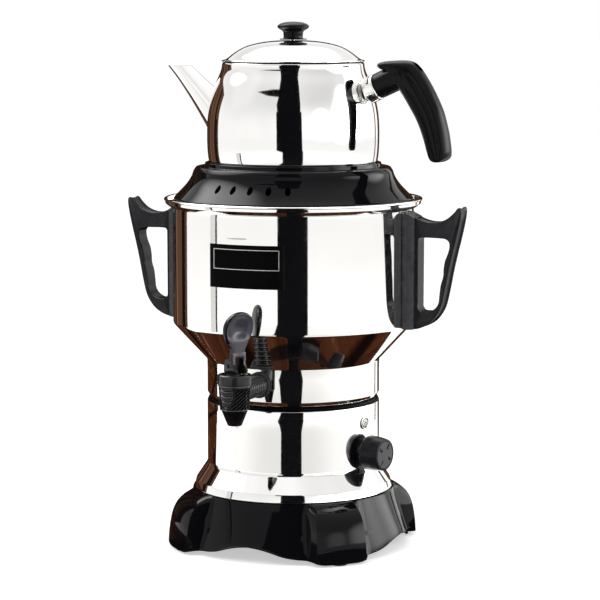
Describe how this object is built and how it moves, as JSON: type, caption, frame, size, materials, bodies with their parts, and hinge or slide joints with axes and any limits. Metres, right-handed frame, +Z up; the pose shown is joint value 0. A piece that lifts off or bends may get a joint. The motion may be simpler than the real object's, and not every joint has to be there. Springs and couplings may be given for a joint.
{
  "type": "electric samovar",
  "caption": "Waisted electric samovar: a steel boiler with side handles and a lever tap on a footed black base, a steam collar on its rim and a lidded teapot on top.",
  "frame": {"origin": "on the standing surface, under the middle of the object's outline", "axes": "+Z up; the tap faces -Y, the teapot's handle and the thermostat knob are at +X, the spout at -X"},
  "size_m": [0.2866, 0.2308, 0.4168],
  "materials": {
    "polished_steel": "mirror-polished stainless steel",
    "plain_steel": "plain steel fasteners, heater tube and valve stem",
    "black_gloss": "glossy moulded black",
    "black_satin": "satin moulded black",
    "grey_black": "satin grey-black knob and tap lever",
    "rubber": "matt black rubber",
    "silicone": "pale silicone seals",
    "clear_lens": "clear indicator lens",
    "brass": "plain brass",
    "brown_wire": "brown wire sleeve",
    "blue_wire": "blue wire sleeve",
    "cream_insulator": "cream insulating body"
  },
  "bodies": {
    "root": {"base_shell": "black_gloss", "boiler_tank": "polished_steel", "bottom_cover": "black_satin", "casing_screw_1": "plain_steel", "casing_screw_2": "plain_steel", "casing_screw_3": "plain_steel", "cord_gland": "black_satin", "cover_screw_1": "plain_steel", "cover_screw_2": "plain_steel", "cover_screw_3": "plain_steel", "cover_screw_4": "plain_steel", "foot_pad_1": "rubber", "foot_pad_2": "rubber", "foot_pad_3": "rubber", "foot_pad_4": "rubber", "front_label": "black_satin", "handle_screw_1": "plain_steel", "handle_screw_2": "plain_steel", "handle_screw_3": "plain_steel", "handle_screw_4": "plain_steel", "heater_element": "plain_steel", "heater_gasket_1": "silicone", "heater_gasket_2": "silicone", "heater_nut_1": "brass", "heater_nut_2": "brass", "indicator_lamp": "cream_insulator", "indicator_lens": "clear_lens", "lead_heater": "blue_wire", "lead_lamp": "blue_wire", "lead_thermostat": "brown_wire", "lower_casing": "polished_steel", "sensor_bulb": "brass", "side_handle_left": "black_satin", "side_handle_right": "black_satin", "tank_nut_1": "plain_steel", "tank_nut_2": "plain_steel", "tank_nut_3": "plain_steel", "tap_body": "black_satin", "tap_bonnet": "black_satin", "tap_gasket": "rubber", "tap_nut": "black_satin", "terminal_block": "cream_insulator", "thermostat_body": "cream_insulator", "thermostat_nut": "plain_steel"},
    "valve": {"valve_stem": "plain_steel", "seat_cup": "silicone"},
    "lever": {"tap_lever": "grey_black", "lever_pin": "plain_steel"},
    "knob": {"thermostat_knob": "grey_black", "thermostat_shaft": "brass"},
    "collar": {"steam_collar": "black_gloss"},
    "teapot": {"pot_body": "polished_steel", "pot_spout": "polished_steel", "pot_bracket": "polished_steel", "pot_ferrule": "polished_steel", "pot_handle": "black_satin", "pot_handle_bolt": "plain_steel"},
    "lid": {"pot_lid": "polished_steel", "lid_knob": "black_satin", "lid_knob_screw": "plain_steel"}
  },
  "joints": [
    {"name": "collar_lift", "type": "slide", "parent": "root", "child": "collar", "axis": [0, 0, 1], "range_m": [0, 0.05]},
    {"name": "pot_lift", "type": "slide", "parent": "collar", "child": "teapot", "axis": [0, 0, 1], "range_m": [0, 0.08]},
    {"name": "lid_lift", "type": "slide", "parent": "teapot", "child": "lid", "axis": [0, 0, 1], "range_m": [0, 0.05]},
    {"name": "stem_lift", "type": "slide", "parent": "root", "child": "valve", "axis": [0, 0, 1], "range_m": [0, 0.0032]},
    {"name": "lever_tilt", "type": "hinge", "parent": "valve", "child": "lever", "pos_m": [0, -0.10225, 0.1585], "axis": [0.5, 0.866, 0], "range_deg": [0, 45], "stiffness_Nm_per_rad": 0.05, "springref_deg": -11.46},
    {"name": "knob_turn", "type": "hinge", "parent": "root", "child": "knob", "pos_m": [0.07113, -0.00387, 0.0795], "axis": [0.9744, -0.225, 0], "range_deg": [0, 270]}
  ],
  "couplings": [
    {"joint": "stem_lift", "follows": "lever_tilt", "m_per_rad": 0.004}
  ]
}
